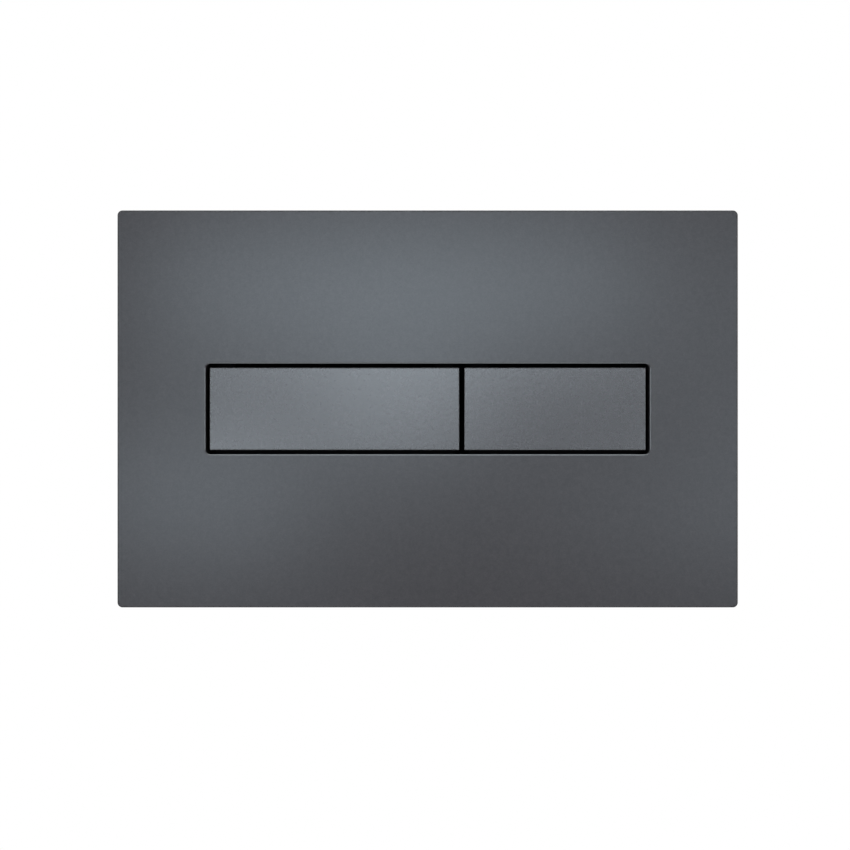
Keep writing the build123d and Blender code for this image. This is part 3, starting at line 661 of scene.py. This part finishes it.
class FLUSHPLATE_OT_carrier_screws(bpy.types.Operator):
    """Make the tray's screws with cross recesses and threads"""

    bl_idname = "flush_plate.carrier_screws"
    bl_label = "Tray screws"

    rough = 0.34
    shank_radius = 1.3 * MM
    shank_steps = 24
    overlap = 0.1 * MM

    # The head's outline, measured from its flat top and its rim
    head_height = 2.0 * MM
    rim_drop = 0.9 * MM
    shoulder_drop = 0.35 * MM
    shoulder_inset = 0.22 * MM
    top_inset = 0.8 * MM

    # The cross recess, and as many points round the head as the cross has
    arm = 1.55 * MM
    half_slot = 0.36 * MM
    recess_depth = 1.3 * MM
    recess_taper = 0.7
    rim_count = 24

    def cross(self, bm, centre, y, share):
        """Corner points of a cross-shaped loop with a point in the middle of each side."""
        long, short = self.arm * share, self.half_slot * share
        corners = []
        for quarter in range(4):
            turn = Matrix.Rotation(quarter * pi / 2, 2)
            corners += [turn @ Vector(p) for p in ((long, -short), (long, short), (short, short))]
        points = []
        for here, after in zip(corners, corners[1:] + corners[:1]):
            points += [here, (here + after) / 2]
        verts = [bm.verts.new((centre.x + p.x, y, centre.z + p.y)) for p in points]
        for pair in zip(verts, verts[1:] + verts[:1]):
            bm.edges.new(pair)
        return verts

    def screw(self, centre, front, back, radius):
        """One screw whose head faces the wall."""
        under = back - self.head_height
        bm = bmesh.new()
        loops = [
            ring(bm, centre, y, reach, self.rim_count)
            for y, reach in (
                (under, radius),
                (back - self.rim_drop, radius),
                (back - self.shoulder_drop, radius - self.shoulder_inset),
                (back, radius - self.top_inset),
            )
        ]
        loops.append(self.cross(bm, centre, back, 1.0))
        loops.append(self.cross(bm, centre, back - self.recess_depth, self.recess_taper))
        for here, after in zip(loops, loops[1:]):
            bmesh.ops.bridge_loops(bm, edges=loop_edges(bm, here) + loop_edges(bm, after))
        for verts in (loops[0], loops[-1]):
            bmesh.ops.contextual_create(bm, geom=loop_edges(bm, verts))
        bmesh.ops.recalc_face_normals(bm, faces=bm.faces)
        pitch = settings().detail.screw_pitch
        end = under + self.overlap
        shank = threaded_bar(centre, front, end, self.shank_radius, pitch, steps=self.shank_steps)
        join_mesh(bm, shank)
        return bm

    def execute(self, context):
        zinc = metal("zinc_plating", settings().finish.zinc, self.rough)
        low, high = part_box("carrier_screws")
        radius = (high.z - low.z) / 2
        both = bmesh.new()
        for x in (low.x + radius, high.x - radius):
            centre = Vector((x, 0, (low.z + high.z) / 2))
            join_mesh(both, self.screw(centre, low.y, high.y, radius))
        make_piece(both, "tray_screws", "carrier_screws", [zinc])
        return {"FINISHED"}


class FLUSHPLATE_OT_mounting_frame(bpy.types.Operator):
    """Finish the mounting frame"""

    bl_idname = "flush_plate.mounting_frame"
    bl_label = "Mounting frame"

    rough = 0.5

    def execute(self, context):
        grey = moulded("grey_plastic", settings().finish.grey, self.rough)
        width = settings().detail.moulded_round
        rounded_piece("mounting_frame", "frame_moulding", width, [grey])
        return {"FINISHED"}


class FLUSHPLATE_OT_fixing_bolts(bpy.types.Operator):
    """Make the fixing bolts with their coarse threads"""

    bl_idname = "flush_plate.fixing_bolts"
    bl_label = "Fixing bolts"

    wall = 0.0
    shank_radius = 4.0 * MM
    tip = 1.0 * MM
    overlap = 0.2 * MM

    def execute(self, context):
        finish, detail = settings().finish, settings().detail
        white = milky("white_plastic", finish.white)
        for side in ("left", "right"):
            node = f"{side}_fixing_bolt"
            low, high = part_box(node)
            centre = (low + high) / 2
            bm = merged_node(node)
            cut(bm, self.wall, 1)
            round_edges(bm, detail.moulded_round)
            start = self.wall - self.overlap
            thread = threaded_bar(
                centre, start, high.y, self.shank_radius, detail.bolt_pitch, self.tip
            )
            join_mesh(bm, thread)
            make_piece(bm, f"{side}_bolt", node, [white])
        return {"FINISHED"}


class FLUSHPLATE_OT_push_rods(bpy.types.Operator):
    """Finish the push rods and make their adjusters"""

    bl_idname = "flush_plate.push_rods"
    bl_label = "Push rods"

    head_rough = 0.42
    stud_radius = 2.5 * MM
    stud_tip = 0.4 * MM
    stud_steps = 28
    overlap = 0.1 * MM

    # The head's grip: each ridge has two points on the rim and two sunk ones
    head_height = 2.5 * MM
    head_round = 0.15 * MM
    head_round_steps = 2
    grips = 30
    grip_points = 4
    grip_depth = 0.35 * MM

    def head(self, centre, front, radius):
        """The adjuster's round head with grip ridges, its face to the front."""
        bm = bmesh.new()
        verts = ring(bm, centre, front, radius, self.grip_points * self.grips)
        for vert in verts[2 :: self.grip_points] + verts[3 :: self.grip_points]:
            out = (vert.co - Vector((centre.x, front, centre.z))).normalized()
            vert.co -= out * self.grip_depth
        bmesh.ops.contextual_create(bm, geom=loop_edges(bm, verts))
        body = bmesh.ops.extrude_face_region(bm, geom=bm.faces[:])
        raised = [item for item in body["geom"] if isinstance(item, bmesh.types.BMVert)]
        bmesh.ops.translate(bm, verts=raised, vec=(0, self.head_height, 0))
        bmesh.ops.recalc_face_normals(bm, faces=bm.faces)
        rims = [
            edge
            for edge in bm.edges
            if abs(edge.verts[0].co.y - edge.verts[1].co.y) < MERGE_DISTANCE
        ]
        bevel_edges(bm, rims, self.head_round, self.head_round_steps, clamp=True)
        return bm

    def execute(self, context):
        finish, detail = settings().finish, settings().detail
        white = milky("rod_plastic", finish.white)
        blue = moulded("blue_plastic", finish.blue, self.head_rough)
        for side in BUTTONS:
            rounded_piece(f"{side}_push_rod", f"{side}_rod", detail.moulded_round, [white])
            node = f"{side}_rod_adjuster"
            low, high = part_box(node)
            centre = (low + high) / 2
            bm = self.head(centre, low.y, (high.x - low.x) / 2)
            under = low.y + self.head_height - self.overlap
            stud = threaded_bar(
                centre, under, high.y, self.stud_radius, detail.stud_pitch, self.stud_tip, self.stud_steps
            )
            join_mesh(bm, stud)
            make_piece(bm, f"{side}_adjuster", node, [blue])
        return {"FINISHED"}


class FLUSHPLATE_OT_stage(bpy.types.Operator):
    """Set the camera, the lamps, the floor and the white surroundings"""

    bl_idname = "flush_plate.stage"
    bl_label = "Stage"

    floor_half = 3.0
    floor_cells = 8
    floor_rough = 0.9
    shadow_radius = (0.25, 0.60)
    lamp_distance = 0.6

    # Lamps that face the plate straight on: x and z of the middle, then width and height
    front_lamps = {
        "key": ((-0.020, 0.085), (0.320, 0.055)),
        "middle": ((-0.018, 0.045), (0.095, 0.155)),
        "left": ((-0.155, -0.052), (0.140, 0.065)),
        "right": ((0.200, -0.062), (0.240, 0.020)),
        "rim": ((0.205, 0.022), (0.020, 0.250)),
    }

    # Lamps that are aimed at the object from further round it: place, then width and height
    top_lamp = ((0, -0.552, 0.70), (0.55, 0.18))
    side_lamp = ((0.613, -0.649, 0), (0.18, 0.18))
    corner_lamp = ((0.378, -0.634, 0.525), (0.10, 0.10))
    low_lamp = ((0, -0.264, -0.318), (0.30, 0.12))
    back_lamp = ((0.35, 1.1, 0.7), (0.8, 0.8))

    def camera(self, context):
        """A camera straight in front of the plate, framed as the photo is."""
        data = bpy.data.cameras.new("photo_camera")
        data.lens = settings().studio.lens
        distance = VIEW_WIDTH * data.lens / data.sensor_width
        camera = bpy.data.objects.new("photo_camera", data)
        camera.location = (VIEW_CENTRE[0], FRONT - distance, VIEW_CENTRE[1])
        camera.rotation_euler = (pi / 2, 0, 0)
        context.scene.collection.objects.link(camera)
        context.scene.camera = camera

    def lamp(self, context, name, place, aim, size, power, tint=(1, 1, 1)):
        """A soft rectangular lamp that the camera doesn't see."""
        data = bpy.data.lights.new(name, "AREA")
        data.shape = "RECTANGLE"
        data.size, data.size_y = size
        data.energy = power
        data.color = tint
        lamp = bpy.data.objects.new(name, data)
        lamp.location = place
        lamp.rotation_euler = (Vector(aim) - Vector(place)).to_track_quat("-Z", "Y").to_euler()
        lamp.visible_camera = False
        context.scene.collection.objects.link(lamp)

    def lamps(self, context):
        """All lamps: those that the satin face mirrors, and those round it and behind it."""
        studio = settings().studio
        face, middle = (0, FRONT, 0), (0, 0, 0)
        for name, ((x, z), size) in self.front_lamps.items():
            place, aim = (x, FRONT - self.lamp_distance, z), (x, FRONT, z)
            power = getattr(studio, name)
            self.lamp(context, f"{name}_lamp", place, aim, size, power, studio.tint)
        place, size = self.top_lamp
        self.lamp(context, "top_lamp", place, face, size, studio.top)
        for side, way in (("left", -1), ("right", 1)):
            (x, y, z), size = self.side_lamp
            self.lamp(context, f"{side}_side_lamp", (x * way, y, z), face, size, studio.side)
            (x, y, z), size = self.corner_lamp
            self.lamp(context, f"{side}_corner_lamp", (x * way, y, z), face, size, studio.corner)
        place, size = self.low_lamp
        self.lamp(context, "low_lamp", place, face, size, studio.low)
        place, size = self.back_lamp
        self.lamp(context, "back_lamp", place, middle, size, studio.back)

    def seen(self, tree):
        """1 for a ray that shows the surroundings: one from the camera, a gloss or a clear piece."""
        path = tree.nodes.new("ShaderNodeLightPath")
        result = path.outputs["Is Camera Ray"]
        for name in ("Is Glossy Ray", "Is Transmission Ray"):
            most = tree.nodes.new("ShaderNodeMath")
            most.operation = "MAXIMUM"
            tree.links.new(result, most.inputs[0])
            tree.links.new(path.outputs[name], most.inputs[1])
            result = most.outputs[0]
        return result

    def surroundings(self, context):
        """White where it is seen, and a plain even light elsewhere."""
        world = bpy.data.worlds.new("studio")
        world.use_nodes = True
        tree = world.node_tree
        tree.nodes.clear()
        light = tree.nodes.new("ShaderNodeBackground")
        light.inputs["Strength"].default_value = settings().studio.ambient
        white = tree.nodes.new("ShaderNodeBackground")
        mix = tree.nodes.new("ShaderNodeMixShader")
        output = tree.nodes.new("ShaderNodeOutputWorld")
        for ground in (light, white):
            ground.inputs["Color"].default_value = (1, 1, 1, 1)
        tree.links.new(self.seen(tree), mix.inputs[0])
        tree.links.new(light.outputs[0], mix.inputs[1])
        tree.links.new(white.outputs[0], mix.inputs[2])
        tree.links.new(mix.outputs[0], output.inputs[0])
        context.scene.world = world

    def away_from_plate(self, tree):
        """0 on the floor under the plate, rising to 1 where the shadow has ended."""
        place = tree.nodes.new("ShaderNodeTexCoord")
        lower = tree.nodes.new("ShaderNodeMapping")
        lower.inputs["Location"].default_value = (0, 0, settings().studio.floor_drop)
        away = tree.nodes.new("ShaderNodeVectorMath")
        away.operation = "LENGTH"
        fade = tree.nodes.new("ShaderNodeMapRange")
        fade.interpolation_type = "SMOOTHSTEP"
        fade.inputs["From Min"].default_value = self.shadow_radius[0]
        fade.inputs["From Max"].default_value = self.shadow_radius[1]
        tree.links.new(place.outputs["Object"], lower.inputs["Vector"])
        tree.links.new(lower.outputs["Vector"], away.inputs[0])
        tree.links.new(away.outputs["Value"], fade.inputs["Value"])
        return fade.outputs["Result"]

    def floor_paint(self):
        """A pale, dull paint that turns white away from the plate, where it is seen."""
        material = bpy.data.materials.new("pale_floor")
        material.use_nodes = True
        tree = material.node_tree
        shader = tree.nodes["Principled BSDF"]
        shader.inputs["Base Color"].default_value = (*settings().studio.floor, 1)
        shader.inputs["Roughness"].default_value = self.floor_rough
        shader.inputs["Specular IOR Level"].default_value = 0
        both = tree.nodes.new("ShaderNodeMath")
        both.operation = "MULTIPLY"
        white = tree.nodes.new("ShaderNodeEmission")
        mix = tree.nodes.new("ShaderNodeMixShader")
        tree.links.new(self.away_from_plate(tree), both.inputs[0])
        tree.links.new(self.seen(tree), both.inputs[1])
        tree.links.new(both.outputs[0], mix.inputs[0])
        tree.links.new(shader.outputs[0], mix.inputs[1])
        tree.links.new(white.outputs[0], mix.inputs[2])
        tree.links.new(mix.outputs[0], tree.nodes["Material Output"].inputs["Surface"])
        return material

    def floor(self, context):
        """A pale floor that keeps the object's shadow and fades to white away from it."""
        cells = self.floor_cells
        bm = bmesh.new()
        bmesh.ops.create_grid(bm, x_segments=cells, y_segments=cells, size=self.floor_half)
        bmesh.ops.translate(bm, verts=bm.verts, vec=(0, 0, -settings().studio.floor_drop))
        mesh = bpy.data.meshes.new("floor")
        bm.to_mesh(mesh)
        bm.free()
        mesh.materials.append(self.floor_paint())
        floor = bpy.data.objects.new("floor", mesh)
        context.scene.collection.objects.link(floor)

    def execute(self, context):
        self.camera(context)
        self.lamps(context)
        self.surroundings(context)
        self.floor(context)
        context.scene.view_settings.view_transform = "Standard"
        return {"FINISHED"}


class FLUSHPLATE_PT_sidebar(bpy.types.Panel):
    """Buttons and settings of the flush plate"""

    bl_idname = "FLUSHPLATE_PT_sidebar"
    bl_label = "Flush plate"
    bl_space_type = "VIEW_3D"
    bl_region_type = "UI"
    bl_category = "Flush plate"

    def draw(self, context):
        layout = self.layout
        for operator in OPERATORS:
            layout.operator(operator.bl_idname)
        for group in (settings().finish, settings().detail, settings().studio):
            box = layout.box()
            for name in group.__annotations__:
                box.prop(group, name)


OPERATORS = (
    FLUSHPLATE_OT_stage,
    FLUSHPLATE_OT_front_plate,
    FLUSHPLATE_OT_buttons,
    FLUSHPLATE_OT_levers,
    FLUSHPLATE_OT_return_springs,
    FLUSHPLATE_OT_carrier_screws,
    FLUSHPLATE_OT_mounting_frame,
    FLUSHPLATE_OT_fixing_bolts,
    FLUSHPLATE_OT_push_rods,
)
CLASSES = (
    FlushPlateFinish,
    FlushPlateDetail,
    FlushPlateStudio,
    FlushPlateSettings,
    *OPERATORS,
    FLUSHPLATE_PT_sidebar,
)


def register():
    for item in CLASSES:
        bpy.utils.register_class(item)
    bpy.types.Scene.flush_plate = PointerProperty(type=FlushPlateSettings)


def unregister():
    del bpy.types.Scene.flush_plate
    for item in reversed(CLASSES):
        bpy.utils.unregister_class(item)


def main():
    register()
    bpy.ops.flush_plate.stage()
    bpy.ops.flush_plate.front_plate()
    bpy.ops.flush_plate.buttons()
    bpy.ops.flush_plate.levers()
    bpy.ops.flush_plate.return_springs()
    bpy.ops.flush_plate.carrier_screws()
    bpy.ops.flush_plate.mounting_frame()
    bpy.ops.flush_plate.fixing_bolts()
    bpy.ops.flush_plate.push_rods()


if __name__ == "__main__":
    main()
